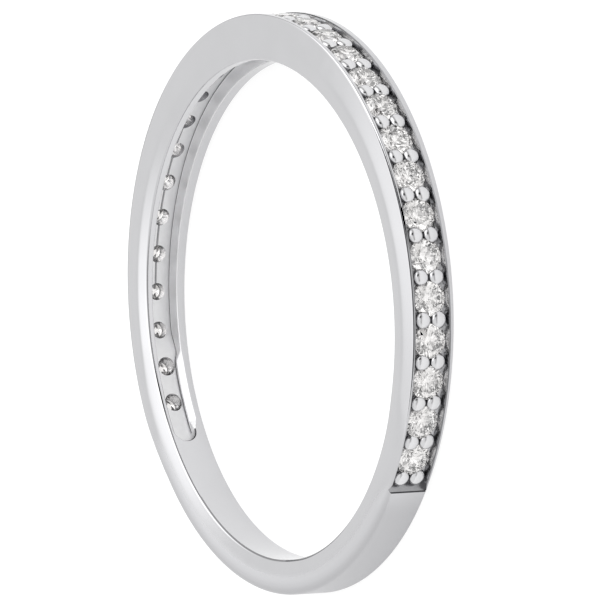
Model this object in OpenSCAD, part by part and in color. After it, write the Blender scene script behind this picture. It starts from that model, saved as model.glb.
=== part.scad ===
// Micro-pave wedding band, lying on its side: one solid band and the round stones set in it.
// Millimetres, +Z up. The flat far side lies on z = 0, the middle of the setting faces -Y,
// and the origin is the centre of the outer circle on the face that the ring lies on.

/* [Finger] */
// Bore diameter, 17.3 is US size 7
finger_d = 17.3; // [15:0.1:20]

/* [Band] */
// Width across the middle of the setting
top_w = 1.8; // [1.8:0.05:2.2]
// Width at the back of the shank
base_w = 1.4; // [1.4:0.05:1.7]
// Metal thickness behind the middle stone
top_t = 1.6; // [1.55:0.05:1.9]
// Metal thickness at the back of the shank
base_t = 1.2; // [1.2:0.05:1.5]
// Bevel that softens the outer edges
outer_bevel = 0.06; // [0.04:0.01:0.06]
// Bevel that softens the edges of the bore
inner_bevel = 0.06; // [0.04:0.01:0.08]
// Depth of the hollow that runs round the inside of the shank between its rims
shank_hollow = 0.02; // [0.01:0.005:0.03]
// Width of that hollow
shank_hollow_w = 0.46; // [0.4:0.02:0.5]

/* [Stones] */
// Number of stones, an odd number
stone_count = 29; // [9:2:31]
// Angle between neighbouring stones
stone_pitch = 8.4; // [8.2:0.1:8.8]
// Girdle diameter of a stone
stone_d = 1.2; // [1.1:0.01:1.2]
// Gap between a stone and its seat
seat_gap = 0.02; // [0.015:0.005:0.03]
// How far the table lies under the outer surface
table_drop = 0.02; // [0:0.01:0.05]

/* [Channel] */
// Width of the channel at the outer surface
channel_w = 1.32; // [1.28:0.01:1.32]
// Width of the channel at its floor
channel_floor_w = 1.24; // [1.24:0.01:1.26]
// Depth of the channel
channel_depth = 0.32; // [0.31:0.01:0.33]
// Length of floor past the last pair of beads
channel_run = 0.28; // [0.26:0.02:0.32]
// Length of the sloped cut that closes the channel
end_cut_run = 0.26; // [0.24:0.02:0.3]
// Width of that cut where it meets the outer surface
end_cut_w = 1.52; // [1.48:0.02:1.6]

/* [Beads] */
// Diameter of a bead
bead_d = 0.56; // [0.5:0.01:0.57]
// Distance between the two beads of a pair
bead_gap = 0.6; // [0.59:0.01:0.63]
// How far the beads lie under the outer surface
bead_drop = 0.01; // [0.01:0.01:0.02]

/* [Gallery] */
// Width of the groove inside the bore
groove_w = 0.96; // [0.8:0.02:1]
// Depth of the groove inside the bore
groove_depth = 0.56; // [0.4:0.04:0.6]
// Diameter of the hole behind each stone, at the stone
azure_d = 0.5; // [0.4:0.02:0.56]
// Diameter of that hole where it opens in the groove
azure_mouth_d = 0.6; // [0.56:0.02:0.64]
// Angle from the last hole to the round end of the groove
groove_run = 7; // [5:0.5:9]

/* [Hidden] */
$fn = 96;
bore_r = finger_d / 2;
outer_r = (finger_d + top_t + base_t) / 2;
bore_y = (top_t - base_t) / 2;
mid_h = (top_w + base_w) / 4;
taper = atan((top_w - base_w) / (2 * outer_r));

// Proportions of a round brilliant, as shares of its girdle radius
table_share = 0.56;
crown_share = 0.3;
girdle_share = 0.06;
pavilion_share = 0.86;
star_share = 0.78;
lower_half_share = 0.22;
facet_step = 22.5;

stone_r = stone_d / 2;
table_r = outer_r - table_drop;
girdle_top_r = table_r - crown_share * stone_r;
girdle_low_r = girdle_top_r - girdle_share * stone_r;
first_stone = -(stone_count - 1) / 2;
setting_half = -first_stone * stone_pitch;
channel_half = setting_half + stone_pitch / 2 + channel_run / outer_r * 180 / PI;
groove_half = setting_half + groove_run;
over = 1;
// How far the end cut starts inside the channel, and how much narrower it is there on each side
cut_lap = 0.02;
// How much larger and deeper the groove's drilled ends are
groove_end_play = 0.04;
// How far a bead's post reaches down from its dome
bead_root = 0.12;

function stone_name(i) = str("stone_", i < 10 ? "0" : "", i);

// Places a piece in the plane half way between the two side faces, with +X towards the
// place of stone number n counted from the middle of the setting
module at_stone(n) {
    mid_plane() rotate([0, 0, -90 + n * stone_pitch]) children();
}

module mid_plane() {
    translate([0, 0, mid_h]) rotate([-taper / 2, 0, 0]) children();
}

module near_face() {
    translate([0, 0, 2 * mid_h]) rotate([-taper, 0, 0]) mirror([0, 0, 1]) children();
}

// One side face with its outer bevel, facing down, as a block that is cut by the others
module side_block() {
    rotate_extrude()
        polygon([
            [0, 0],
            [outer_r - outer_bevel, 0],
            [outer_r + over, outer_bevel + over],
            [outer_r + over, 2 * top_w],
            [0, 2 * top_w]
        ]);
}

module blank() {
    intersection() {
        translate([0, 0, -over]) cylinder(r = outer_r, h = top_w + 2 * over);
        side_block();
        near_face() side_block();
    }
}

module bore_edge() {
    translate([0, bore_y, -over])
        cylinder(r1 = bore_r + inner_bevel + over, r2 = bore_r + inner_bevel - over, h = 2 * over);
}

module bore() {
    translate([0, bore_y, -over]) cylinder(r = bore_r, h = top_w + 2 * over);
    bore_edge();
    near_face() bore_edge();
    translate([0, bore_y, mid_h]) shank_hollow_ring();
}

// A shallow round-bottomed hollow in the bore, deepest half way between its rims
module shank_hollow_ring() {
    arc_r = (pow(shank_hollow_w / 2, 2) + pow(shank_hollow, 2)) / (2 * shank_hollow);
    rotate_extrude() translate([bore_r + shank_hollow - arc_r, 0]) circle(arc_r);
}

// The channel that the stones stand in, with walls that lean outwards
module channel() {
    floor_r = outer_r - channel_depth;
    lean = (channel_w - channel_floor_w) / 2 / channel_depth;
    top_half = channel_w / 2 + lean * over;
    mid_plane()
        rotate_extrude(angle = 2 * channel_half, start = -90 - channel_half)
            polygon([
                [floor_r, -channel_floor_w / 2],
                [outer_r + over, -top_half],
                [outer_r + over, top_half],
                [floor_r, channel_floor_w / 2]
            ]);
}

// The flared cut that runs from the end of the channel's floor up to the outer surface
module end_cut() {
    slope = atan(channel_depth / end_cut_run);
    run = end_cut_run / cos(slope);
    start_half = channel_floor_w / 2 - cut_lap;
    mid_plane()
        rotate([0, 0, -90 + channel_half])
            translate([outer_r - channel_depth, 0, 0])
                rotate([0, 0, -slope])
                    rotate([90, 0, 90])
                        linear_extrude(over)
                            polygon([
                                [-cut_lap, -start_half],
                                [run, -end_cut_w / 2],
                                [1.5 * run, -end_cut_w / 2 - over / 4],
                                [1.5 * run, end_cut_w / 2 + over / 4],
                                [run, end_cut_w / 2],
                                [-cut_lap, start_half]
                            ]);
}

// The groove in the bore that opens the stones' backs to the light, with drilled round ends
module groove() {
    drill_h = groove_depth + groove_end_play + over;
    translate([0, bore_y, 0]) mid_plane() {
        rotate_extrude(angle = 2 * groove_half, start = -90 - groove_half)
            translate([bore_r - over, -groove_w / 2])
                square([groove_depth + over, groove_w]);
        for (side = [-1, 1])
            rotate([0, 0, -90 + side * groove_half])
                translate([bore_r - over, 0, 0])
                    rotate([0, 90, 0])
                        cylinder(d = groove_w + groove_end_play, h = drill_h);
    }
}

// A pair of beads: domed posts that rise from the channel's floor
module bead_pair() {
    r = bead_d / 2;
    for (side = [-1, 1])
        translate([outer_r - bead_drop - r, 0, side * bead_gap / 2])
            rotate([0, 90, 0])
                rotate_extrude() {
                    intersection() {
                        circle(r);
                        square(bead_d);
                    }
                    translate([0, -bead_root]) square([r, bead_root]);
                }
}

// The hollow that one stone stands in: crown, girdle, seat and the flared hole behind it
module stone_hollow() {
    hole_r = azure_d / 2;
    slope = crown_share / (1 - table_share);
    rim_r = stone_r + seat_gap;
    seat_r = girdle_low_r - pavilion_share * (stone_r - hole_r) - seat_gap;
    mouth_r = bore_r + groove_depth;
    flare = (azure_mouth_d - azure_d) / 2 / (seat_r - mouth_r);
    end_r = bore_r - over;
    rotate([0, 90, 0])
        rotate_extrude()
            polygon([
                [0, end_r],
                [hole_r + flare * (seat_r - end_r), end_r],
                [hole_r, seat_r],
                [rim_r, girdle_low_r - seat_gap],
                [rim_r, girdle_top_r + seat_gap],
                [rim_r - (over - seat_gap) / 4 / slope, girdle_top_r + over / 4],
                [0, girdle_top_r + over / 4]
            ]);
}

module band() {
    color("gainsboro")
        difference() {
            union() {
                difference() {
                    blank();
                    bore();
                    channel();
                    end_cut();
                    mirror([1, 0, 0]) end_cut();
                    groove();
                }
                for (n = [first_stone : -first_stone + 1]) at_stone(n - 0.5) bead_pair();
            }
            for (n = [first_stone : -first_stone]) at_stone(n) stone_hollow();
        }
}

function ring_points(r, z, count, turn) =
    [for (k = [0 : count - 1]) [r * cos(turn + k * 360 / count), r * sin(turn + k * 360 / count), z]];

// Round brilliant on +Z with its girdle's top edge at z = 0: table, stars, bezels, upper halves,
// girdle, lower halves and pavilion mains
module brilliant() {
    r = stone_r;
    table_z = crown_share * r;
    star_z = table_z * (1 - star_share * cos(facet_step)) / (1 - table_share);
    low_z = -girdle_share * r;
    culet_z = low_z - pavilion_share * r;
    half_z = culet_z + lower_half_share * cos(facet_step) * (low_z - culet_z);
    points = concat(
        ring_points(table_share * r, table_z, 8, 0),
        ring_points(star_share * r, star_z, 8, facet_step),
        ring_points(r, 0, 16, 0),
        ring_points(r, low_z, 16, 0),
        ring_points(lower_half_share * r, half_z, 8, facet_step),
        [[0, 0, culet_z]]
    );
    star = 8;
    upper = 16;
    lower = 32;
    half = 48;
    culet = 56;
    faces = concat(
        [[for (k = [7 : -1 : 0]) k]],
        [for (k = [0 : 7]) [k, (k + 1) % 8, star + k]],
        [for (k = [0 : 7]) [k, star + k, upper + 2 * k, star + (k + 7) % 8]],
        [for (k = [0 : 7]) [star + k, upper + 2 * k + 1, upper + 2 * k]],
        [for (k = [0 : 7]) [star + k, upper + (2 * k + 2) % 16, upper + 2 * k + 1]],
        [for (k = [0 : 15]) [upper + k, upper + (k + 1) % 16, lower + (k + 1) % 16, lower + k]],
        [for (k = [0 : 7]) [half + k, lower + 2 * k, lower + 2 * k + 1]],
        [for (k = [0 : 7]) [half + k, lower + 2 * k + 1, lower + (2 * k + 2) % 16]],
        [for (k = [0 : 7]) [culet, half + (k + 7) % 8, lower + 2 * k, half + k]]
    );
    polyhedron(points, faces);
}

module stone(i) {
    color("whitesmoke")
        at_stone(first_stone + i - 1)
            translate([girdle_top_r, 0, 0])
                rotate([0, 90, 0])
                    brilliant();
}

band();
for (i = [1 : stone_count]) stone(i);
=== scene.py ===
"""Looks of a micro-pave wedding band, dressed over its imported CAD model.

The band's solid is replaced by a mesh with softly rounded edges, cut by the same channel, groove
and stone seats, and by one mesh of beads. The stones are the CAD nodes themselves. Shapes are
worked out in millimetres and stored in metres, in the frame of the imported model. An angle t is
counted round the ring from the middle stone, in degrees.
"""
import logging
import math
from dataclasses import dataclass
from enum import Enum

import bmesh
import bpy
import numpy as np
from bpy.types import Material, Node, NodeSocket, NodeTree, Object
from mathutils import Matrix, Vector


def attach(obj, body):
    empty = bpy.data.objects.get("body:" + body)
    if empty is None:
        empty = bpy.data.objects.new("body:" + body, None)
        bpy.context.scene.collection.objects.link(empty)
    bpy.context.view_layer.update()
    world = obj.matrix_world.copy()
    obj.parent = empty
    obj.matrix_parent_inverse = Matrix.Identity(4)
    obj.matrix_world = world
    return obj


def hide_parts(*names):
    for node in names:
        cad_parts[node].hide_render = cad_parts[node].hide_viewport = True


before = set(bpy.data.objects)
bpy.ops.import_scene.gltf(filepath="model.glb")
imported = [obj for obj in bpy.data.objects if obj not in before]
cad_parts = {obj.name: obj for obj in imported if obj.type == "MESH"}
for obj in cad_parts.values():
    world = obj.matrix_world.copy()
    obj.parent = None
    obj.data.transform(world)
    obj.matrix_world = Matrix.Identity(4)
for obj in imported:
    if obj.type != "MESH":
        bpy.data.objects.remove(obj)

MM = 0.001
WELD_MM = 1e-5
OUTLINE = "outline"
LOG = logging.getLogger("ring")

# Sockets of the Mix node: its two numbers, its two colours and its colour output.
VALUE_A, VALUE_B = 2, 3
COLOUR_A, COLOUR_B = 6, 7
COLOUR_OUT = 2


class Cut(Enum):
    """Finish of a metal surface, and its material slot's number on the band; some finishes carry painted
    light, others painted shade, in their colour.
    """

    POLISHED = 0
    BRIGHT = 1
    GALLERY = 2
    # Painted shade: dark grey in corners and along edges.
    PAINTED_SHADE = 3
    # Matt roughness with painted light: a near-white colour.
    FROSTED_PAINTED_LIGHT = 4
    # Painted shade: mid grey standing for a dark reflection.
    PAINTED_MID_SHADE = 5
    # Painted shade: nearly black lines along edges.
    PAINTED_DARK_LINE = 6


@dataclass(frozen=True)
class Ring:
    """Sizes of the whole ring, in millimetres and degrees."""

    bore_r: float = 8.65
    outer_r: float = 10.05
    bore_y: float = 0.2  # how far the bore lies towards the back
    top_w: float = 1.8  # width at the middle stone
    base_w: float = 1.4  # width at the back
    stones: int = 29
    pitch: float = 8.4  # angle from stone to stone
    steps: int = 480  # sections of the swept band

    @property
    def mid_z(self) -> float:
        """Height of the middle plane on the bore's axis."""
        return (self.top_w + self.base_w) / 4

    @property
    def taper(self) -> float:
        """Slope of the near face, as a tangent."""
        return (self.top_w - self.base_w) / (2 * self.outer_r)

    @property
    def tilt(self) -> float:
        """Tilt of the middle plane, in radians."""
        return math.atan(self.taper) / 2

    @property
    def setting_half(self) -> float:
        """Angle from the middle stone to the last one."""
        return (self.stones - 1) / 2 * self.pitch

    def top(self, y: float) -> float:
        """Height of the near face at the coordinate y."""
        return 2 * self.mid_z - self.taper * y

    def inner(self, angle: float) -> float:
        """Distance from the origin to the bore's wall in the direction angle, in radians."""
        s, c = math.sin(angle), math.cos(angle)
        return self.bore_y * s + math.sqrt(self.bore_r**2 - (self.bore_y * c) ** 2)


@dataclass(frozen=True)
class Edges:
    """The near face and the rounded edges, in millimetres and degrees.

    An edge is its radial extent, its axial extent and the length of the facet below it. The near
    face is two shallow cones that meet in a soft ridge. Two fine dark lines of painted shade follow
    its edges: one on the rail beside the channel, and one on the bore's rim, on one side of the back.
    """

    shank_out: tuple = (0.32, 0.2, 0.0)
    setting_out: tuple = (0.06, 0.05, 0.055)
    far_out: tuple = (0.012, 0.008, 0.0)
    bore_near: tuple = (0.05, 0.03, 0.075)
    bore_far: tuple = (0.012, 0.008, 0.0)
    blend_from: float = 118.0  # where the setting's edge turns into the shank's
    blend_to: float = 132.0
    lean: float = 17.0  # angle of the facet to the wall, round the setting
    lean_back: float = 45.0  # and at the back
    lean_from: float = 120.0
    arc_over: float = 8.0  # turn from the facet to the arc above it
    inner_slope: float = 7.0
    outer_slope: float = 4.3
    inner_w: float = 0.58  # width of the inner cone round the setting
    inner_back_w: float = 0.85  # and round the shank
    ridge_soft: float = 0.08
    ridge_back_soft: float = 0.3
    widen_from: float = 103.0
    widen_to: float = 117.0
    rail_line: tuple = (42.0, 60.0, 94.0, 112.0)  # where the painted dark line starts, is full, fades and ends
    rail_strips: int = 9
    # where the bore rim's painted shade line starts, is full, fades and ends
    rim_line: tuple = (130.0, 150.0, 164.0, 176.0)
    rim_strips: int = 12


@dataclass(frozen=True)
class Channel:
    """The channel that the stones stand in, in millimetres."""

    width: float = 1.32
    floor_w: float = 1.24
    depth: float = 0.32
    run: float = 0.28  # from the last pair of beads to the floor's end
    chamfer: float = 0.035  # the lips along both rails, coloured dark as painted shade
    cut_run: float = 0.26  # length and width of the sloped cut at each end
    cut_w: float = 1.52
    cut_line: float = 0.06  # the painted dark line along the cut's top
    lap: float = 0.02  # how far the end cuts reach into the channel
    flare_run: float = 1.6  # the cut's outline goes on past the metal by this share and width
    flare_w: float = 0.25
    over: float = 1.0  # how far the cutters stand out over the ring


@dataclass(frozen=True)
class Gallery:
    """The groove inside the bore and the holes behind the stones, in millimetres and degrees.

    Near its ends the groove is shallower, and its far side has a bevel.
    """

    width: float = 0.96
    depth: float = 0.56
    end_depth: float = 0.32
    run: float = 6.7  # from the last stone to the middle of the round end
    reach: float = 1.0  # how far the cutters start inside the bore's wall
    hole_d: float = 0.5
    mouth_d: float = 0.6
    chamfer: float = 0.025
    rim: float = 0.04  # bevel round the drilled end
    rise_from: float = 99.0
    rise_to: float = 106.0
    bevel_from: float = 104.5
    bevel_to: float = 107.5
    bevel_in: float = 0.2
    bevel_out: float = 0.05
    bevel_lift: float = 0.12
    bevel_close: float = 3.0  # the bevel closes over these last degrees
    line: float = 0.03  # the painted shade line at the far wall's foot
    line_end: float = 0.045
    score: float = 0.05  # the scored line between the holes, over the middle plane, painted a mid grey shade
    score_w: float = 0.08
    score_depth: float = 0.02
    score_to: float = 92.5
    outline_from: float = 112.0  # from here the near lip carries a painted dark line


@dataclass(frozen=True)
class Stone:
    """Sizes of one stone and of its seat, in millimetres.

    The crown, girdle, pavilion and table are shares of the girdle's radius.
    """

    girdle_r: float = 0.6
    table_drop: float = 0.02
    crown: float = 0.3
    girdle: float = 0.06
    pavilion: float = 0.86
    table: float = 0.56
    gap: float = 0.02
    rise: float = 0.25  # how far the seat's cutter goes on over the girdle

    def dress(self, material: Material) -> None:
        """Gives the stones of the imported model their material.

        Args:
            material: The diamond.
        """
        stones = [node for name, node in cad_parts.items() if name.startswith("stone_")]
        for stone in stones:
            for slot in stone.material_slots:
                slot.material = material
        LOG.info("stones: %d dressed", len(stones))


@dataclass(frozen=True)
class Metal:
    """Finish of one kind of metal surface.

    Attributes:
        name: The finish's name.
        light: The paler of its two colours.
        dark: The darker one.
        rough: Lowest and highest roughness.
        marks_per_mm: Marks of the tool per millimetre. The real ones are 0.02 to 0.05 mm apart,
            and are drawn several times as coarse to show.
        depth_mm: Depth of the marks.
    """

    name: str
    light: str
    dark: str
    rough: tuple
    marks_per_mm: float
    depth_mm: float


def linear(code: str) -> tuple:
    """Turns an sRGB colour into Blender's linear one.

    Args:
        code: The colour as #RRGGBB.

    Returns:
        Red, green, blue and alpha, linear.
    """
    parts = [int(code[i : i + 2], 16) / 255 for i in (1, 3, 5)]
    return (*[p / 12.92 if p <= 0.04045 else ((p + 0.055) / 1.055) ** 2.4 for p in parts], 1.0)


def heading(t: float) -> float:
    """Direction of the angle t in the ring's plane, in radians from +X."""
    return math.radians(t - 90)


def smooth(t: float, start: float, stop: float) -> float:
    """Turns an angle on either side into a share that rises softly from 0 at start to 1 at stop."""
    share = min(max((abs(t) - start) / (stop - start), 0.0), 1.0)
    return share * share * (3 - 2 * share)


def add_node(
    tree: NodeTree, kind: str, values: dict | None = None, links: dict | None = None, **settings
) -> Node:
    """Adds a node to a tree, with its settings, its inputs' values and its incoming links.

    Args:
        tree: The node tree.
        kind: The node's type name.
        values: Input name or number to value.
        links: Input name or number to an output socket, or to a node whose first output is meant.
        **settings: Attributes of the node.

    Returns:
        The new node.
    """
    node = tree.nodes.new(kind)
    for key, value in settings.items():
        setattr(node, key, value)
    for key, value in (values or {}).items():
        node.inputs[key].default_value = value
    for key, source in (links or {}).items():
        socket = source.outputs[0] if isinstance(source, Node) else source
        tree.links.new(socket, node.inputs[key])
    return node


# Mesh helpers


def mesh_object(name: str, verts: list, faces: list, materials: list, numbers: np.ndarray | int) -> Object:
    """Makes a mesh object from points and faces, with its faces turned outwards.

    Args:
        name: The object's name.
        verts: Points in the unit that the caller works in.
        faces: Tuples of point numbers.
        materials: Materials of the mesh.
        numbers: One material number for all faces, or one for each.

    Returns:
        The object, linked to the scene.
    """
    mesh = bpy.data.meshes.new(name)
    mesh.from_pydata([tuple(map(float, v)) for v in verts], [], [tuple(map(int, f)) for f in faces])
    for material in materials:
        mesh.materials.append(material)
    mesh.polygons.foreach_set("material_index", np.full(len(mesh.polygons), numbers, np.int32))
    bm = bmesh.new()
    bm.from_mesh(mesh)
    bmesh.ops.recalc_face_normals(bm, faces=bm.faces)
    bm.to_mesh(mesh)
    bm.free()
    obj = bpy.data.objects.new(name, mesh)
    bpy.context.scene.collection.objects.link(obj)
    return obj


def sweep(sections: np.ndarray, closed: bool) -> tuple:
    """Joins a row of closed sections into a tube.

    Args:
        sections: Points, shaped (sections, points, 3).
        closed: True if the last section meets the first, else both ends get a cap.

    Returns:
        The points and the faces, row by row, with the two caps at the end.
    """
    rows, cols = sections.shape[:2]
    faces = []
    for i in range(rows if closed else rows - 1):
        a, b = i * cols, ((i + 1) % rows) * cols
        for k in range(cols):
            n = (k + 1) % cols
            faces.append((a + k, a + n, b + n, b + k))
    if not closed:
        faces.append(tuple(range(cols)))
        faces.append(tuple((rows - 1) * cols + k for k in reversed(range(cols))))
    return sections.reshape(-1, 3), faces


def revolve(profile: list, sides: int) -> tuple:
    """Turns an open profile whose two ends lie on the +X axis round that axis.

    Args:
        profile: Pairs of distance along the axis and radius; the first and last radius are zero.
        sides: Number of sides.

    Returns:
        The points and the faces of the closed solid, side by side, each from first to last strip.
    """
    verts, faces = [(profile[0][0], 0, 0), (profile[-1][0], 0, 0)], []
    inner = profile[1:-1]
    for x, r in inner:
        for k in range(sides):
            a = 2 * math.pi * k / sides
            verts.append((x, r * math.cos(a), r * math.sin(a)))
    for k in range(sides):
        n = (k + 1) % sides
        faces.append((0, 2 + k, 2 + n))
        for row in range(len(inner) - 1):
            a, b = 2 + row * sides, 2 + (row + 1) * sides
            faces.append((a + k, b + k, b + n, a + n))
        last = 2 + (len(inner) - 1) * sides
        faces.append((1, last + n, last + k))
    return verts, faces


def apply_modifiers(obj: Object) -> None:
    """Turns an object's modifiers into its plain mesh.

    Args:
        obj: The object; its modifiers are removed.
    """
    graph = bpy.context.evaluated_depsgraph_get()
    made = bpy.data.meshes.new_from_object(obj.evaluated_get(graph), depsgraph=graph)
    old, obj.data = obj.data, made
    made.name = obj.name
    obj.modifiers.clear()
    bpy.data.meshes.remove(old)


def cut_away(obj: Object, cutter: Object) -> None:
    """Subtracts a closed mesh from another and deletes it.

    Args:
        obj: The mesh that is cut.
        cutter: The mesh that cuts.
    """
    mod = obj.modifiers.new("cut", "BOOLEAN")
    mod.operation, mod.solver, mod.object = "DIFFERENCE", "MANIFOLD", cutter
    apply_modifiers(obj)
    mesh = cutter.data
    bpy.data.objects.remove(cutter)
    bpy.data.meshes.remove(mesh)


def finish_mesh(obj: Object, sharp_deg: float) -> None:
    """Welds a mesh that is in millimetres, scales it to metres and shades it.

    Args:
        obj: The object.
        sharp_deg: Edges that turn more than this stay sharp.
    """
    bm = bmesh.new()
    bm.from_mesh(obj.data)
    bmesh.ops.remove_doubles(bm, verts=bm.verts, dist=WELD_MM)
    bmesh.ops.dissolve_degenerate(bm, edges=bm.edges, dist=WELD_MM)
    bmesh.ops.scale(bm, vec=(MM,) * 3, verts=bm.verts)
    for face in bm.faces:
        face.smooth = True
    limit = math.radians(sharp_deg)
    for edge in bm.edges:
        edge.smooth = len(edge.link_faces) == 2 and edge.calc_face_angle(0.0) < limit
    bm.to_mesh(obj.data)
    bm.free()
    LOG.info("%s: %d faces", obj.name, len(obj.data.polygons))


# Materials


def new_material(name: str) -> tuple:
    """Makes a material with one Principled shader.

    Args:
        name: The material's name.

    Returns:
        The material, its node tree and its shader.
    """
    material = bpy.data.materials.new(name)
    material.use_nodes = True
    return material, material.node_tree, material.node_tree.nodes["Principled BSDF"]


def clouded(
    tree: NodeTree, place: NodeSocket, scale: float, detail: float, light: str, dark: str
) -> NodeSocket:
    """Mixes two colours by soft clouds.

    Args:
        tree: The material's nodes.
        place: The Object coordinates, or the same in millimetres.
        scale: Clouds per unit of place.
        detail: Detail of the clouds.
        light: The first colour as #RRGGBB.
        dark: The second colour.

    Returns:
        The socket of the mixed colour.
    """
    cloud = add_node(tree, "ShaderNodeTexNoise", {"Scale": scale, "Detail": detail}, {"Vector": place})
    colours = {COLOUR_A: linear(light), COLOUR_B: linear(dark)}
    return add_node(tree, "ShaderNodeMix", colours, {"Factor": cloud}, data_type="RGBA").outputs[COLOUR_OUT]


class MetalMaker:
    """Makes the white gold's materials: one rhodium-plated alloy in the finishes of Cut, whose lighter and
    darker colours are painted light and painted shade.
    """

    FINISHES = {
        # Buffed with rouge: a mirror that takes its tone from the studio, with hardly a mark.
        Cut.POLISHED: Metal(
            "rhodium_plated_white_gold_polished", "#CBCBCD", "#C6C6C8", (0.07, 0.11), 2.2, 0.0001
        ),
        # Cut with a polished graver, in the channel and on the beads: the roughness is the cut's finish,
        # and the colour, the brightest of the metal's, is painted light.
        Cut.BRIGHT: Metal(
            "rhodium_plated_white_gold_bright_cut_painted_light", "#DADADB", "#CFCFD1", (0.16, 0.24), 5.0, 0.0002
        ),
        # Brushed with a fine burr inside the groove: the satin roughness is the finish, and its even, pale
        # colour is painted light.
        Cut.GALLERY: Metal(
            "rhodium_plated_white_gold_satin_painted_light", "#DCDCDD", "#D5D5D6", (0.34, 0.44), 6.0, 0.0002
        ),
        # Painted shade: dark grey lips, feet and end-cut walls, and the line that draws the beads' outline,
        # standing for shade in corners.
        Cut.PAINTED_SHADE: Metal("white_gold_painted_shade", "#8C8C8E", "#6E6E70", (0.14, 0.24), 6.0, 0.0004),
        # Sandblasted groove walls: the matt roughness keeps out any mirror image of the holes, and the
        # near-white colour, a white bloom, is painted light.
        Cut.FROSTED_PAINTED_LIGHT: Metal("white_gold_frosted_painted_light", "#FBFBFC", "#F6F6F7", (0.5, 0.6), 6.0, 0.0002),
        # Painted shade: mid grey on the end cuts' slopes and in the scored line, standing for a dark
        # reflection there.
        Cut.PAINTED_MID_SHADE: Metal("white_gold_painted_mid_shade", "#A2A2A4", "#8E8E90", (0.16, 0.26), 7.0, 0.0006),
        # Painted shade: nearly black lines, as thin as a pen's stroke, standing for dark reflections and
        # shade along the edges.
        Cut.PAINTED_DARK_LINE: Metal("white_gold_painted_dark_line", "#48484A", "#3C3C3E", (0.3, 0.4), 7.0, 0.0006),
    }
    CLOUDS_PER_MARK, CLOUD_DETAIL, MARK_DETAIL = 0.35, 3.0, 5.0
    MARK_LOW, MARK_HIGH = 0.3, 0.7

    # Wear and painted shade on the plain shank: fine scratches soften its mirror into a sheen by roughness,
    # and its darker grey colour is painted shade. Both grow between two radii and two distances towards
    # the back, in millimetres.
    WORN_COLOUR, WORN_ROUGH = "#BCBCBE", 0.52
    WORN_R, WORN_Y = (9.15, 9.75), (4.8, 6.6)

    def _wear_and_shade(self, tree: NodeTree, in_mm: NodeSocket) -> Node:
        """Works out how much of the wear and of the painted shade each place takes.

        Args:
            tree: The material's nodes.
            in_mm: The place in millimetres.

        Returns:
            The node whose first output runs from 0, plain polish, to 1, full wear and painted shade.
        """
        parts = add_node(tree, "ShaderNodeSeparateXYZ", links={0: in_mm}).outputs
        flat = add_node(tree, "ShaderNodeCombineXYZ", links={"X": parts[0], "Y": parts[1]})
        far = add_node(tree, "ShaderNodeVectorMath", links={0: flat}, operation="LENGTH").outputs["Value"]
        shares = {}
        for number, (value, (low, high)) in enumerate(((far, self.WORN_R), (parts[1], self.WORN_Y))):
            shares[number] = add_node(
                tree,
                "ShaderNodeMapRange",
                {"From Min": low, "From Max": high},
                {"Value": value},
                interpolation_type="SMOOTHSTEP",
            )
        return add_node(tree, "ShaderNodeMath", links=shares, operation="MULTIPLY")

    def build(self, cut: Cut) -> Material:
        """Builds one finish.

        Args:
            cut: The kind of surface.

        Returns:
            The material.
        """
        finish = self.FINISHES[cut]
        material, tree, shader = new_material(finish.name)
        shader.inputs["Metallic"].default_value = 1.0
        place = add_node(tree, "ShaderNodeTexCoord").outputs["Object"]
        per_mm = {1: (1 / MM,) * 3}
        in_mm = add_node(tree, "ShaderNodeVectorMath", per_mm, {0: place}, operation="MULTIPLY").outputs[0]
        clouds_per_mm = finish.marks_per_mm * self.CLOUDS_PER_MARK
        colour = clouded(tree, in_mm, clouds_per_mm, self.CLOUD_DETAIL, finish.light, finish.dark)
        marks = add_node(
            tree,
            "ShaderNodeTexNoise",
            {"Scale": finish.marks_per_mm, "Detail": self.MARK_DETAIL},
            {"Vector": in_mm},
        )
        low, high = finish.rough
        rough = add_node(
            tree,
            "ShaderNodeMapRange",
            {"From Min": self.MARK_LOW, "From Max": self.MARK_HIGH, "To Min": low, "To Max": high},
            {"Value": marks},
        )
        # The worn zone's darker colour is painted shade; its higher roughness is wear.
        if cut is Cut.POLISHED:
            wear_and_shade = self._wear_and_shade(tree, in_mm)
            shaded_tone, parts = {COLOUR_B: linear(self.WORN_COLOUR)}, {"Factor": wear_and_shade, COLOUR_A: colour}
            wear_shade_mix = add_node(tree, "ShaderNodeMix", shaded_tone, parts, data_type="RGBA")
            colour = wear_shade_mix.outputs[COLOUR_OUT]
            matt = {VALUE_B: self.WORN_ROUGH}
            rough = add_node(tree, "ShaderNodeMix", matt, {0: wear_and_shade, VALUE_A: rough}, data_type="FLOAT")
        bump = add_node(
            tree, "ShaderNodeBump", {"Strength": 1.0, "Distance": finish.depth_mm * MM}, {"Height": marks}
        )
        tree.links.new(colour, shader.inputs["Base Color"])
        tree.links.new(rough.outputs[0], shader.inputs["Roughness"])
        tree.links.new(bump.outputs[0], shader.inputs["Normal"])
        return material


@dataclass(frozen=True)
class Diamond:
    """Colourless diamond, cut and polished: clear facets that flash white beside dark ones.

    The faint clouds stand for tints inside the stone, and are far wider than real ones to show.
    """

    light: str = "#F6F5F4"
    dark: str = "#E2DFDD"
    ior: float = 2.417
    clouds_per_mm: float = 1.4
    detail: float = 2.0

    def build(self) -> Material:
        """Builds the stones' material.

        Returns:
            The material.
        """
        material, tree, shader = new_material("diamond")
        shader.inputs["Transmission Weight"].default_value = 1.0
        shader.inputs["IOR"].default_value = self.ior
        shader.inputs["Roughness"].default_value = 0.0
        place = add_node(tree, "ShaderNodeTexCoord").outputs["Object"]
        colour = clouded(tree, place, self.clouds_per_mm / MM, self.detail, self.light, self.dark)
        tree.links.new(colour, shader.inputs["Base Color"])
        return material


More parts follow.
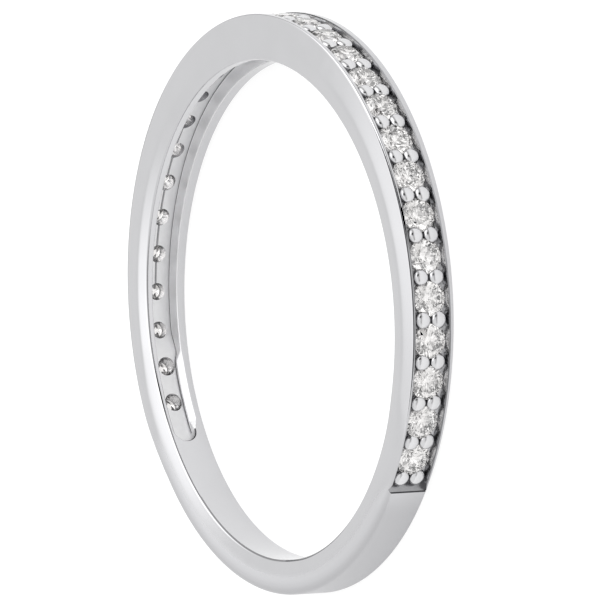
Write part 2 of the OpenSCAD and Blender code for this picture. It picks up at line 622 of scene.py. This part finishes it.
@dataclass(frozen=True)
class LightTable:
    """Matt white acrylic, lit from below: an even white ground with no mirror image in it.

    Its tooth is drawn coarser than the real one, to show.
    """

    light: str = "#A2A2A2"
    dark: str = "#9E9E9E"
    rough: float = 0.9
    gloss: float = 0.1
    glow: str = "#FFFFFF"
    glow_strength: float = 0.7
    tooth_per_mm: float = 1.5
    detail: float = 3.0

    def build(self) -> Material:
        """Builds the floor's material.

        Returns:
            The material.
        """
        material, tree, shader = new_material("matt_white_acrylic")
        shader.inputs["Roughness"].default_value = self.rough
        shader.inputs["Specular IOR Level"].default_value = self.gloss
        place = add_node(tree, "ShaderNodeTexCoord").outputs["Object"]
        colour = clouded(tree, place, self.tooth_per_mm / MM, self.detail, self.light, self.dark)
        tree.links.new(colour, shader.inputs["Base Color"])
        shader.inputs["Emission Color"].default_value = linear(self.glow)
        shader.inputs["Emission Strength"].default_value = self.glow_strength
        return material


# The band


@dataclass
class Band:
    """The band's metal: a swept section with rounded edges, then its cuts.

    Attributes:
        ring: Sizes of the ring.
        edges: The near face and the rounded edges.
        channel: The channel outside.
        gallery: The groove inside.
        stone: The stones and their seats.
        metals: The materials, in the order of Cut.
    """

    ring: Ring
    edges: Edges
    channel: Channel
    gallery: Gallery
    stone: Stone
    metals: list

    # Points along a wall's half, along an edge and across a side face of the section.
    WALL_POINTS = 6
    ARC_POINTS = 13
    FACE_POINTS = 22
    # The section's strips that lie next to the outer edge and to the bore's wall, counted from the
    # outer surface's middle.
    # The painted shade lines of the rail and the rim end at these strips.
    RAIL_STOP = WALL_POINTS + ARC_POINTS - 2
    RIM_STOP = RAIL_STOP + FACE_POINTS + ARC_POINTS - 2
    # Sections of the two long cutters, and sides of the round ones.
    CUT_STEPS = 420
    END_SIDES = 64
    SEAT_SIDES = 48
    # Strips of the cutters' profiles, counted from each profile's first point.
    # The lips, foot, score, lip and end rim take painted shade; the groove's walls take painted light.
    CHANNEL_LIPS = [1, 5]
    GROOVE_WALLS, GROOVE_FOOT, GROOVE_SCORE, GROOVE_LIP = [2, 8], 3, slice(5, 7), 9
    END_RIM = 2
    SHARP_DEG = 24.0

    def build(self) -> Object:
        """Builds the band.

        Returns:
            The finished object.
        """
        body = self._body()
        cutters = (self._channel(), *self._end_cuts(), self._groove(), *self._groove_ends())
        for cutter in (*cutters, self.hollows()):
            cut_away(body, cutter)
        finish_mesh(body, self.SHARP_DEG)
        return body

    def _outer_edge(self, t: float) -> tuple:
        """The outer edge's extents at the angle t."""
        share = smooth(t, self.edges.blend_from, self.edges.blend_to)
        return tuple(a + (b - a) * share for a, b in zip(self.edges.setting_out, self.edges.shank_out))

    def _edge(self, t: float, size: tuple) -> list:
        """Draws a rounded edge from the wall to the side face.

        Args:
            t: The angle round the ring.
            size: The edge's radial extent, axial extent and facet.

        Returns:
            Pairs of inset from the wall and drop from the side face.
        """
        a, b, facet = size
        if not facet:
            turns = np.linspace(0, math.pi / 2, self.ARC_POINTS)
            return [(a * (1 - math.cos(x)), b * (1 - math.sin(x))) for x in turns]
        e = self.edges
        back = max(0.0, (abs(t) - e.lean_from) / (180 - e.lean_from))
        lean = math.radians(e.lean + (e.lean_back - e.lean) * back**2)
        start = math.atan(b / a * math.tan(lean + math.radians(e.arc_over)))
        line = [(0.0, b * (1 - math.sin(start)) + facet * math.cos(lean))]
        for x in np.linspace(start, math.pi / 2, self.ARC_POINTS - 1):
            inset = facet * math.sin(lean) + a * (math.cos(start) - math.cos(x))
            line.append((inset, b * (1 - math.sin(x))))
        return line

    def _relief(self, t: float, inward: float) -> float:
        """Works out how far the near face lies under its flat.

        Args:
            t: The angle round the ring.
            inward: Distance from the bore's wall.

        Returns:
            The depth of the two cones there.
        """
        e = self.edges
        share = smooth(t, e.widen_from, e.widen_to)
        x = inward - (e.inner_w + (e.inner_back_w - e.inner_w) * share)
        soft = math.hypot(x, e.ridge_soft + (e.ridge_back_soft - e.ridge_soft) * share)
        inner, outer = math.tan(math.radians(e.inner_slope)), math.tan(math.radians(e.outer_slope))
        return (inner * (soft - x) + outer * (soft + x)) / 2

    def _half(self, t: float, outer: tuple, inner: tuple, near: bool) -> list:
        """Draws half of the section, from the outer surface's middle to the bore's.

        Args:
            t: The angle round the ring.
            outer: The outer edge's extents.
            inner: The extents of the edge at the bore.
            near: True for the near half, whose face has the two cones.

        Returns:
            Pairs of radius and height over the middle plane.
        """
        ring, rise = self.ring, math.sin(heading(t))
        r_in, r_out = ring.inner(heading(t)), ring.outer_r
        high_out, high_in = ring.top(r_out * rise) / 2, ring.top(r_in * rise) / 2
        out_edge, in_edge = self._edge(t, outer), self._edge(t, inner)
        across = np.linspace(r_out - out_edge[-1][0], r_in + in_edge[-1][0], self.FACE_POINTS)

        def flat(u: float) -> float:
            """Height of the plain side face at the radius u."""
            return high_out + (high_in - high_out) * (r_out - u) / (r_out - r_in)

        half = [(r_out, v) for v in np.linspace(0, high_out - out_edge[0][1], self.WALL_POINTS)[:-1]]
        half += [(r_out - inset, high_out - drop) for inset, drop in out_edge]
        half += [(u, flat(u)) for u in across[1:-1]]
        half += [(r_in + inset, high_in - drop) for inset, drop in reversed(in_edge)]
        half += [(r_in, v) for v in np.linspace(high_in - in_edge[0][1], 0, self.WALL_POINTS)[1:]]
        if near:
            half = [(u, v - self._relief(t, u - r_in) * v / flat(u)) for u, v in half]
        return half

    def _section(self, t: float) -> list:
        """Draws the closed section at the angle t.

        Args:
            t: The angle round the ring.

        Returns:
            Pairs of radius and height over the floor.
        """
        rise = math.sin(heading(t))
        near = self._half(t, self._outer_edge(t), self.edges.bore_near, True)
        far = self._half(t, self.edges.far_out, self.edges.bore_far, False)
        high = [(u, self.ring.top(u * rise) / 2 + v) for u, v in near]
        low = [(u, self.ring.top(u * rise) / 2 - v) for u, v in far]
        return high + low[::-1][1:-1]

    def _body(self) -> Object:
        """Sweeps the body without its cuts, with the fine lines of painted shade along its edges.

        Returns:
            The object.
        """
        e, turns = self.edges, np.linspace(-180, 180, self.ring.steps, endpoint=False)
        sections = []
        for t in turns:
            c, s = math.cos(heading(t)), math.sin(heading(t))
            sections.append([(u * c, u * s, max(z, 0.0)) for u, z in self._section(t)])
        verts, faces = sweep(np.array(sections), True)
        slots = np.full((len(turns), len(sections[0])), Cut.POLISHED.value)
        # The rail's and the rim's strips take painted shade as thin dark lines.
        for row, t in enumerate(turns):
            rail = self._line_strips(t, e.rail_line, e.rail_strips)
            slots[row, self.RAIL_STOP - rail : self.RAIL_STOP] = Cut.PAINTED_DARK_LINE.value
            rim = self._line_strips(t, e.rim_line, e.rim_strips) if t < 0 else 0
            slots[row, self.RIM_STOP - rim : self.RIM_STOP] = Cut.PAINTED_SHADE.value
        return mesh_object("band_metal", verts, faces, self.metals, slots.ravel())

    def _line_strips(self, t: float, line: tuple, strips: int) -> int:
        """How many of a line's strips are drawn at the angle t."""
        start, full, fade, end = line
        return round(strips * (smooth(t, start, full) * (1 - smooth(t, fade, end))))

    def _at(self, t: float, u: float, v: float, shift: float = 0.0) -> tuple:
        """A point at the radius u and the height v over the middle plane, round a shifted centre."""
        x, y = u * math.cos(heading(t)), shift + u * math.sin(heading(t))
        return (x, y, self.ring.top(y) / 2 + v)

    def _channel_half(self) -> float:
        """Angle from the middle stone to the end of the channel's floor."""
        ring = self.ring
        return ring.setting_half + ring.pitch / 2 + math.degrees(self.channel.run / ring.outer_r)

    def _channel(self) -> Object:
        """Makes the cutter of the channel.

        Returns:
            The cutter.
        """
        ch, r = self.channel, self.ring.outer_r
        floor, wall, lip = ch.floor_w / 2, ch.width / 2, ch.width / 2 + ch.chamfer
        side = [(r - ch.depth, floor), (r - ch.chamfer, wall), (r, lip), (r + ch.over, lip)]
        profile = [(u, -v) for u, v in side] + side[::-1]
        half = self._channel_half()
        steps = np.linspace(-half, half, self.CUT_STEPS)
        sections = [[self._at(t, u, v) for u, v in profile] for t in steps]
        verts, faces = sweep(np.array(sections), False)
        # The channel's floor and walls take the bright cut with its painted light, its lips painted shade.
        slots = np.full(len(faces), Cut.BRIGHT.value)
        slots[:-2].reshape(-1, len(profile))[:, self.CHANNEL_LIPS] = Cut.PAINTED_SHADE.value
        return mesh_object("channel", verts, faces, self.metals, slots)

    def _end_cuts(self) -> list:
        """Makes the two flared cuts that close the channel.

        Returns:
            The two cutters.
        """
        ch, ring = self.channel, self.ring
        slope = math.atan(ch.depth / ch.cut_run)
        run, lip, foot = ch.cut_run / math.cos(slope), ch.cut_w / 2, ch.floor_w / 2 - ch.lap
        line = lip - ch.cut_line * (lip - foot) / (run + ch.lap)
        outline = [(-ch.lap, foot), (run - ch.cut_line, line), (run, lip)]
        outline.append((ch.flare_run * run, lip + ch.flare_w))
        outline += [(x, -y) for x, y in reversed(outline)]
        n = len(outline)
        faces = [(k, k + 1, n - 2 - k, n - 1 - k) for k in range(n // 2 - 1)]
        faces.append(tuple(range(2 * n - 1, n - 1, -1)))
        faces += [(k, (k + 1) % n, n + (k + 1) % n, n + k) for k in range(n)]
        # The cut's walls take painted shade, its slope a painted mid shade and its top a painted dark line.
        slots = np.full(len(faces), Cut.PAINTED_SHADE.value)
        slots[:2] = Cut.PAINTED_MID_SHADE.value, Cut.PAINTED_DARK_LINE.value
        cutters = []
        for side in (1, -1):
            angle = heading(side * self._channel_half())
            out = np.array([math.cos(angle), math.sin(angle)])
            along = side * np.array([-math.sin(angle), math.cos(angle)])
            verts = []
            for lift in (0.0, ch.over):
                for x, v in outline:
                    forward = x * math.cos(slope) - lift * math.sin(slope)
                    rise = x * math.sin(slope) + lift * math.cos(slope)
                    px, py = (ring.outer_r - ch.depth + rise) * out + forward * along
                    verts.append((px, py, ring.top(py) / 2 + v))
            cutters.append(mesh_object("end_cut", verts, faces, self.metals, slots))
        return cutters

    def _groove_half(self) -> float:
        """Angle from the middle stone to the middle of the groove's round end."""
        return self.ring.setting_half + self.gallery.run

    def _groove_profile(self, t: float) -> list:
        """Draws the groove's section at the angle t.

        Args:
            t: The angle round the ring.

        Returns:
            Pairs of radius from the bore's axis and height over the middle plane.
        """
        g, r, half_w = self.gallery, self.ring.bore_r, self.gallery.width / 2
        share = smooth(t, g.bevel_from, g.bevel_to)
        deep = r + (g.depth + (g.end_depth - g.depth) * smooth(t, g.rise_from, g.rise_to))
        inward = g.chamfer + (g.bevel_in - g.chamfer) * share
        out = half_w + g.chamfer + (g.bevel_out - g.chamfer) * share
        floor = half_w - g.bevel_lift * share
        line = g.line + (g.line_end - g.line) * share
        close = np.clip((abs(t) - self._groove_half()) / g.bevel_close + 1, 0, 1)
        dig = g.score_depth * (1 - smooth(t, g.score_to - 1, g.score_to))
        inward += (g.chamfer - inward) * close
        out += (floor + g.chamfer - out) * close
        return [
            (r - g.reach, -out),
            (r, -out),
            (r + inward, -floor),
            (deep - line, -floor),
            (deep, -floor),
            (deep, g.score - g.score_w / 2),
            (deep + dig, g.score),
            (deep, g.score + g.score_w / 2),
            (deep, half_w),
            (r + g.chamfer, half_w),
            (r, half_w + g.chamfer),
            (r - g.reach, half_w + g.chamfer),
        ]

    def _groove(self) -> Object:
        """Makes the cutter of the groove, with painted shade lines at its far wall's foot and between the
        holes, and painted light on its walls.

        Returns:
            The cutter.
        """
        g, half, shift = self.gallery, self._groove_half(), self.ring.bore_y
        steps = np.linspace(-half, half, self.CUT_STEPS)
        sections = [[self._at(t, u, v, shift) for u, v in self._groove_profile(t)] for t in steps]
        verts, faces = sweep(np.array(sections), False)
        # The walls take painted light; the foot, the score and the near lip take painted shade.
        slots = np.full(len(faces), Cut.GALLERY.value)
        strips = slots[:-2].reshape(len(steps) - 1, -1)
        strips[:, self.GROOVE_WALLS] = Cut.FROSTED_PAINTED_LIGHT.value
        strips[:, self.GROOVE_FOOT] = Cut.PAINTED_SHADE.value
        strips[np.abs(steps[:-1]) < g.score_to, self.GROOVE_SCORE] = Cut.PAINTED_MID_SHADE.value
        strips[np.abs(steps[:-1]) > g.outline_from, self.GROOVE_LIP] = Cut.PAINTED_DARK_LINE.value
        return mesh_object("groove", verts, faces, self.metals, slots)

    def _groove_ends(self) -> list:
        """Makes the cutters of the drilled round ends of the groove.

        Returns:
            The two cutters.
        """
        g, r, shift = self.gallery, self.ring.bore_r, self.ring.bore_y
        lift = g.bevel_lift / 2
        radius, floor = g.width / 2 - lift, r + g.end_depth
        sag = radius**2 / (2 * floor)
        profile = [
            (r - g.reach, 0),
            (r - g.reach, radius + g.rim),
            (r, radius + g.rim),
            (r + g.rim, radius),
            (floor - sag, radius),
            (floor, 0),
        ]
        verts, faces = revolve(profile, self.END_SIDES)
        slots = np.full(len(faces), Cut.GALLERY.value)
        # The rim round each drilled end takes a painted dark line.
        slots[self.END_RIM :: len(profile) - 1] = Cut.PAINTED_DARK_LINE.value
        made = []
        for side in (1, -1):
            angle = heading(side * self._groove_half())
            c, s = math.cos(angle), math.sin(angle)
            turned = [(x * c - y * s, shift + x * s + y * c, z) for x, y, z in verts]
            placed = [(x, y, self.ring.top(y) / 2 + lift + z) for x, y, z in turned]
            made.append(mesh_object("groove_end", placed, faces, self.metals, slots))
        return made

    def hollows(self) -> Object:
        """Makes the cutter of all the seats and of the flared holes behind the stones.

        Returns:
            The cutter.
        """
        ring, st, g = self.ring, self.stone, self.gallery
        top_r = ring.outer_r - st.table_drop - st.crown * st.girdle_r
        low_r = top_r - st.girdle * st.girdle_r
        hole, rim, start = g.hole_d / 2, st.girdle_r + st.gap, ring.bore_r - g.reach
        slope = st.crown / (1 - st.table)
        seat_r = low_r - st.pavilion * (st.girdle_r - hole) - st.gap
        flare = (g.mouth_d - g.hole_d) / 2 / (seat_r - ring.bore_r - g.depth)
        profile = [
            (start, 0),
            (start, hole + flare * (seat_r - ring.bore_r + g.reach)),
            (seat_r, hole),
            (low_r - st.gap, rim),
            (top_r + st.gap, rim),
            (top_r + st.rise, rim - (st.rise - st.gap) / slope),
            (top_r + st.rise, 0),
        ]
        one_verts, one_faces = revolve(profile, self.SEAT_SIDES)
        lean, verts, faces = Matrix.Rotation(-ring.tilt, 4, "X"), [], []
        for i in range(ring.stones):
            turn = lean @ Matrix.Rotation(heading(i * ring.pitch - ring.setting_half), 4, "Z")
            base = len(verts)
            turned = [turn @ Vector(p) for p in one_verts]
            verts += [(p.x, p.y, p.z + ring.mid_z) for p in turned]
            faces += [tuple(base + k for k in f) for f in one_faces]
        return mesh_object("hollows", verts, faces, self.metals, Cut.BRIGHT.value)


# The beads


@dataclass(frozen=True)
class Beads:
    """The beads that hold the stones: sizes of one in millimetres, and what changes along the row."""

    half_across: float = 0.305
    half_along: float = 0.315
    height: float = 0.27
    apart: float = 0.6
    drop: float = 0.01  # how far the top lies under the outer surface
    sink: float = 0.03  # how far the foot goes into the channel's floor
    skirt: float = 1.02  # how much wider the foot is
    square: float = 2.5  # power of the dome's curve; 2 would be round
    sides: int = 28
    rings: int = 9
    first_ring: int = 2  # strips below the dome
    dark_rings: int = 3  # strips of painted shade at the dome's foot
    size_change: float = 0.04
    seed: int = 7

    SHARP_DEG = 50.0

    def _profile(self, band: Band) -> list:
        """Draws a bead's side view.

        Args:
            band: The band that it stands on.

        Returns:
            Pairs of radius from the ring's axis and share of the bead's half width.
        """
        centre = band.ring.outer_r - self.drop - self.height
        foot = band.ring.outer_r - band.channel.depth - self.sink
        profile, power = [(foot, 0.0), (foot, self.skirt), (centre, 1.0)], 2 / self.square
        for k in range(1, self.rings):
            a = math.pi / 2 * k / self.rings
            profile.append((centre + self.height * math.sin(a) ** power, math.cos(a) ** power))
        return profile + [(centre + self.height, 0.0)]

    def _row_tree(self) -> NodeTree:
        """Makes the node group that sets a mesh round the ring, one copy at each step.

        Returns:
            The geometry node tree.
        """
        tree = bpy.data.node_groups.new("Row round the ring", "GeometryNodeTree")
        face = tree.interface
        face.new_socket("Geometry", in_out="INPUT", socket_type="NodeSocketGeometry")
        for kind, names in (
            ("NodeSocketInt", ("Count", "Seed")),
            ("NodeSocketFloat", ("Start", "Step", "Tilt", "Middle Height", "Size Change")),
            ("NodeSocketMaterial", ("Material", "Outline Material")),
        ):
            for name in names:
                face.new_socket(name, in_out="INPUT", socket_type=kind)
        face.new_socket("Geometry", in_out="OUTPUT", socket_type="NodeSocketGeometry")
        given = add_node(tree, "NodeGroupInput").outputs
        points = add_node(tree, "GeometryNodePoints", links={"Count": given["Count"]})
        index = add_node(tree, "GeometryNodeInputIndex")
        turned = add_node(
            tree,
            "ShaderNodeMath",
            links={0: index, 1: given["Step"], 2: given["Start"]},
            operation="MULTIPLY_ADD",
        )
        spin = add_node(tree, "ShaderNodeCombineXYZ", links={"Z": turned})
        change = {1: given["Size Change"]}
        low = add_node(tree, "ShaderNodeMath", {0: 1.0}, change, operation="SUBTRACT")
        high = add_node(tree, "ShaderNodeMath", {0: 1.0}, change, operation="ADD")
        limits = {2: low, 3: high, "Seed": given["Seed"]}
        vary = add_node(tree, "FunctionNodeRandomValue", links=limits, data_type="FLOAT")
        size = add_node(tree, "ShaderNodeCombineXYZ", {"X": 1.0, "Z": 1.0}, {"Y": vary.outputs[1]})
        copies = add_node(
            tree,
            "GeometryNodeInstanceOnPoints",
            links={"Points": points, "Instance": given["Geometry"], "Rotation": spin, "Scale": size},
        )
        lift = add_node(tree, "ShaderNodeCombineXYZ", links={"Z": given["Middle Height"]})
        lean = add_node(tree, "ShaderNodeCombineXYZ", links={"X": given["Tilt"]})
        whole = add_node(tree, "GeometryNodeRealizeInstances", links={0: copies})
        placed = add_node(
            tree,
            "GeometryNodeTransform",
            links={"Geometry": whole, "Translation": lift, "Rotation": lean},
        )
        metal = {"Geometry": placed, "Material": given["Material"]}
        dressed = add_node(tree, "GeometryNodeSetMaterial", links=metal)
        # The low rings get the outline material, a painted shade.
        low_rings = add_node(
            tree, "GeometryNodeInputNamedAttribute", {"Name": OUTLINE}, data_type="BOOLEAN"
        )
        dark = {"Geometry": dressed, "Selection": low_rings, "Material": given["Outline Material"]}
        lined = add_node(tree, "GeometryNodeSetMaterial", links=dark)
        add_node(tree, "NodeGroupOutput", links={0: lined})
        return tree

    def _set_row(self, obj: Object, values: dict) -> None:
        """Gives an object the row's modifier, with each input set by its socket's identifier.

        Args:
            obj: The object.
            values: Input name to value.
        """
        modifier = obj.modifiers.new("row", "NODES")
        modifier.node_group = self._row_tree()
        for item in modifier.node_group.interface.items_tree:
            if item.item_type == "SOCKET" and item.in_out == "INPUT" and item.name in values:
                modifier[item.identifier] = values[item.name]

    def build(self, band: Band, material: Material, outline: Material) -> Object:
        """Builds all the beads as one mesh, cut clear of the stones that they hold.

        Args:
            band: The band that they stand on.
            material: Their material.
            outline: The material of the painted shade line round their feet.

        Returns:
            The finished object.
        """
        ring, profile = band.ring, self._profile(band)
        one_verts, one_faces = revolve(profile, self.sides)
        verts, faces = [], []
        for side in (-1, 1):
            base, middle = len(verts), side * self.apart / 2
            verts += [(x, y * self.half_along, z * self.half_across + middle) for x, y, z in one_verts]
            faces += [tuple(base + k for k in f) for f in one_faces]
        obj = mesh_object("beads", verts, faces, [material], 0)
        # The strips at the dome's foot are marked for painted shade.
        strips, last = len(profile) - 1, self.first_ring + self.dark_rings
        low = [self.first_ring <= f % strips < last for f in range(len(faces))]
        obj.data.attributes.new(OUTLINE, "BOOLEAN", "FACE").data.foreach_set("value", low)
        values = {
            "Count": ring.stones + 1,
            "Start": heading(-ring.setting_half - ring.pitch / 2),
            "Step": math.radians(ring.pitch),
            "Tilt": -ring.tilt,
            "Middle Height": ring.mid_z,
            "Size Change": self.size_change,
            "Seed": self.seed,
            "Material": material,
            "Outline Material": outline,
        }
        self._set_row(obj, values)
        apply_modifiers(obj)
        cut_away(obj, band.hollows())
        finish_mesh(obj, self.SHARP_DEG)
        return obj


# Floor, light and camera


@dataclass(frozen=True)
class Lens:
    """The photograph's view of the ring: angles in degrees, lengths in millimetres."""

    off_axis: float = 60.404
    azimuth: float = -173.6
    roll: float = -2.83
    up: float = -83.6
    distance: float = 407.06
    right: float = 0.476
    rise: float = 0.3223
    focal: float = 707.0
    sensor: float = 36.0
    clip_m: tuple = (0.01, 20.0)

    def build(self, ring: Ring) -> None:
        """Makes the scene's camera, at the photograph's viewing angle.

        Args:
            ring: Sizes of the ring.
        """
        off, azimuth, roll, up = map(math.radians, (self.off_axis, self.azimuth, self.roll, self.up))
        out = Vector((math.cos(azimuth), math.sin(azimuth), 0))
        back = out * math.sin(off) + Vector((0, 0, math.cos(off)))
        side = out * math.cos(off) - Vector((0, 0, math.sin(off)))
        top = Vector((math.cos(up), math.sin(up), 0))
        x_axis = side * math.cos(roll) + top * math.sin(roll)
        y_axis = top * math.cos(roll) - side * math.sin(roll)
        centre = Vector((0, ring.bore_y, ring.mid_z))
        spot = (centre + back * self.distance + x_axis * self.right + y_axis * self.rise) * MM
        data = bpy.data.cameras.new("camera")
        data.sensor_width, data.lens = self.sensor, self.focal
        data.clip_start, data.clip_end = self.clip_m
        camera = bpy.data.objects.new("camera", data)
        turn = Matrix((x_axis, y_axis, back)).transposed().to_4x4()
        camera.matrix_world = Matrix.Translation(spot) @ turn
        bpy.context.scene.collection.objects.link(camera)
        bpy.context.scene.camera = camera
        LOG.info("camera: %.0f mm from the ring", self.distance)


@dataclass(frozen=True)
class Glow:
    """A soft patch of the studio: its direction, inner and outer half width in degrees, and light."""

    azimuth: float
    elevation: float
    inner: float
    outer: float
    change: float


class Studio:
    """Plain studio: a pale floor and soft light from all round, with a few soft patches.

    One long strip low on one side is darker. It draws the thin dark lines along the metal's edges.
    """

    WALL = 1.02
    PATCHES = (
        Glow(-75.0, 62.0, 20.0, 52.0, 1.2),
        Glow(1.0, 46.0, 4.0, 12.5, 0.68),
        Glow(-140.0, 24.0, 10.0, 18.0, -0.95),
    )
    # The strip's reach to both sides, its height, its inner and outer half height, and its light.
    STRIP_SIDE = Glow(-110.0, 0.0, 85.0, 110.0, 1.0)
    STRIP_HEIGHT, STRIP_HALF, STRIP_CHANGE = 4.0, (9.0, 16.0), -0.54
    # The spot and the floor, in metres and watts.
    SPOT_HEIGHT, SPOT_REACH, SPOT_RADIUS = 0.5, 0.0078, 0.02
    SPOT_WATTS, SPOT_BLEND = 0.35, 0.6
    FLOOR_HALF, FLOOR_Z = 3.0, -0.00001
    BOUNCES, GLOSSY_BOUNCES = 20, 12

    def build(self) -> None:
        """Builds the floor and the light."""
        self._floor()
        self._sky()
        self._fill()

    def _floor(self) -> None:
        """Makes the floor, a card that lies under the ring."""
        half = self.FLOOR_HALF
        corners = ((-half, -half), (half, -half), (half, half), (-half, half))
        verts = [(x, y, self.FLOOR_Z) for x, y in corners]
        floor = mesh_object("floor", verts, [(0, 1, 2, 3)], [LightTable().build()], 0)
        if floor.data.polygons[0].normal.z < 0:
            floor.data.flip_normals()

    def _fill(self) -> None:
        """Makes a soft spot on the floor inside the ring, with no mirror image in the metal."""
        data = bpy.data.lights.new("spot", "SPOT")
        data.energy, data.shadow_soft_size = self.SPOT_WATTS, self.SPOT_RADIUS
        data.spot_blend = self.SPOT_BLEND
        data.spot_size = 2 * math.atan(self.SPOT_REACH / self.SPOT_HEIGHT)
        lamp = bpy.data.objects.new("spot", data)
        lamp.location = (0, 0, self.SPOT_HEIGHT)
        lamp.visible_glossy = lamp.visible_transmission = False
        bpy.context.scene.collection.objects.link(lamp)

    def _patch(self, tree: NodeTree, unit: NodeSocket, glow: Glow) -> Node:
        """Works out what a soft round patch adds in each direction.

        Args:
            tree: The world's nodes.
            unit: The direction, one unit long.
            glow: The patch.

        Returns:
            The node whose first output is the light that it adds.
        """
        a, e = math.radians(glow.azimuth), math.radians(glow.elevation)
        way = (math.cos(a) * math.cos(e), math.sin(a) * math.cos(e), math.sin(e))
        near = add_node(tree, "ShaderNodeVectorMath", {1: way}, {0: unit}, operation="DOT_PRODUCT")
        inner, outer = math.cos(math.radians(glow.inner)), math.cos(math.radians(glow.outer))
        return add_node(
            tree,
            "ShaderNodeMapRange",
            {"From Min": outer, "From Max": inner, "To Min": 0.0, "To Max": glow.change},
            {"Value": near.outputs["Value"]},
            interpolation_type="SMOOTHSTEP",
        )

    def _strip(self, tree: NodeTree, unit: NodeSocket) -> Node:
        """Works out what the long low strip takes away in each direction.

        Args:
            tree: The world's nodes.
            unit: The direction, one unit long.

        Returns:
            The node whose first output is the light that it adds, which is below zero.
        """
        up = add_node(tree, "ShaderNodeSeparateXYZ", links={0: unit}).outputs[2]
        level = {1: math.sin(math.radians(self.STRIP_HEIGHT))}
        height = add_node(tree, "ShaderNodeMath", level, {0: up}, operation="SUBTRACT")
        off = add_node(tree, "ShaderNodeMath", links={0: height}, operation="ABSOLUTE")
        inner, outer = (math.sin(math.radians(x)) for x in self.STRIP_HALF)
        low = add_node(
            tree,
            "ShaderNodeMapRange",
            {"From Min": outer, "From Max": inner, "To Min": 0.0, "To Max": self.STRIP_CHANGE},
            {"Value": off},
            interpolation_type="SMOOTHSTEP",
        )
        side = self._patch(tree, unit, self.STRIP_SIDE)
        return add_node(tree, "ShaderNodeMath", links={0: low, 1: side}, operation="MULTIPLY")

    def _sky(self) -> None:
        """Makes the light from all round, brighter overhead, and sets how it is shown."""
        scene = bpy.context.scene
        scene.world = bpy.data.worlds.new("studio")
        scene.world.use_nodes = True
        tree = scene.world.node_tree
        tree.nodes.clear()
        place = add_node(tree, "ShaderNodeTexCoord").outputs["Generated"]
        unit = add_node(tree, "ShaderNodeVectorMath", links={0: place}, operation="NORMALIZE").outputs[0]
        level = add_node(tree, "ShaderNodeValue")
        level.outputs[0].default_value = self.WALL
        changes = [self._patch(tree, unit, glow) for glow in self.PATCHES]
        for change in (*changes, self._strip(tree, unit)):
            level = add_node(tree, "ShaderNodeMath", links={0: level, 1: change}, operation="ADD")
        back = add_node(tree, "ShaderNodeBackground", {"Color": (1, 1, 1, 1)}, {"Strength": level})
        add_node(tree, "ShaderNodeOutputWorld", links={"Surface": back})
        scene.view_settings.view_transform = "Standard"
        scene.view_settings.look = "None"
        scene.cycles.max_bounces = scene.cycles.transmission_bounces = self.BOUNCES
        scene.cycles.glossy_bounces = self.GLOSSY_BOUNCES


def main() -> None:
    """Builds the ring and its studio."""
    logging.basicConfig(level=logging.INFO, format="%(name)s: %(message)s")
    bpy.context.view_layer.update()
    ring, stone, maker = Ring(), Stone(), MetalMaker()
    metals = [maker.build(cut) for cut in Cut]
    band = Band(ring, Edges(), Channel(), Gallery(), stone, metals)
    body = band.build()
    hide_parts("band")
    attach(body, "root")
    beads = Beads().build(band, metals[Cut.BRIGHT.value], metals[Cut.PAINTED_SHADE.value])
    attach(beads, "root")
    stone.dress(Diamond().build())
    Lens().build(ring)
    Studio().build()


if __name__ == "__main__":
    main()
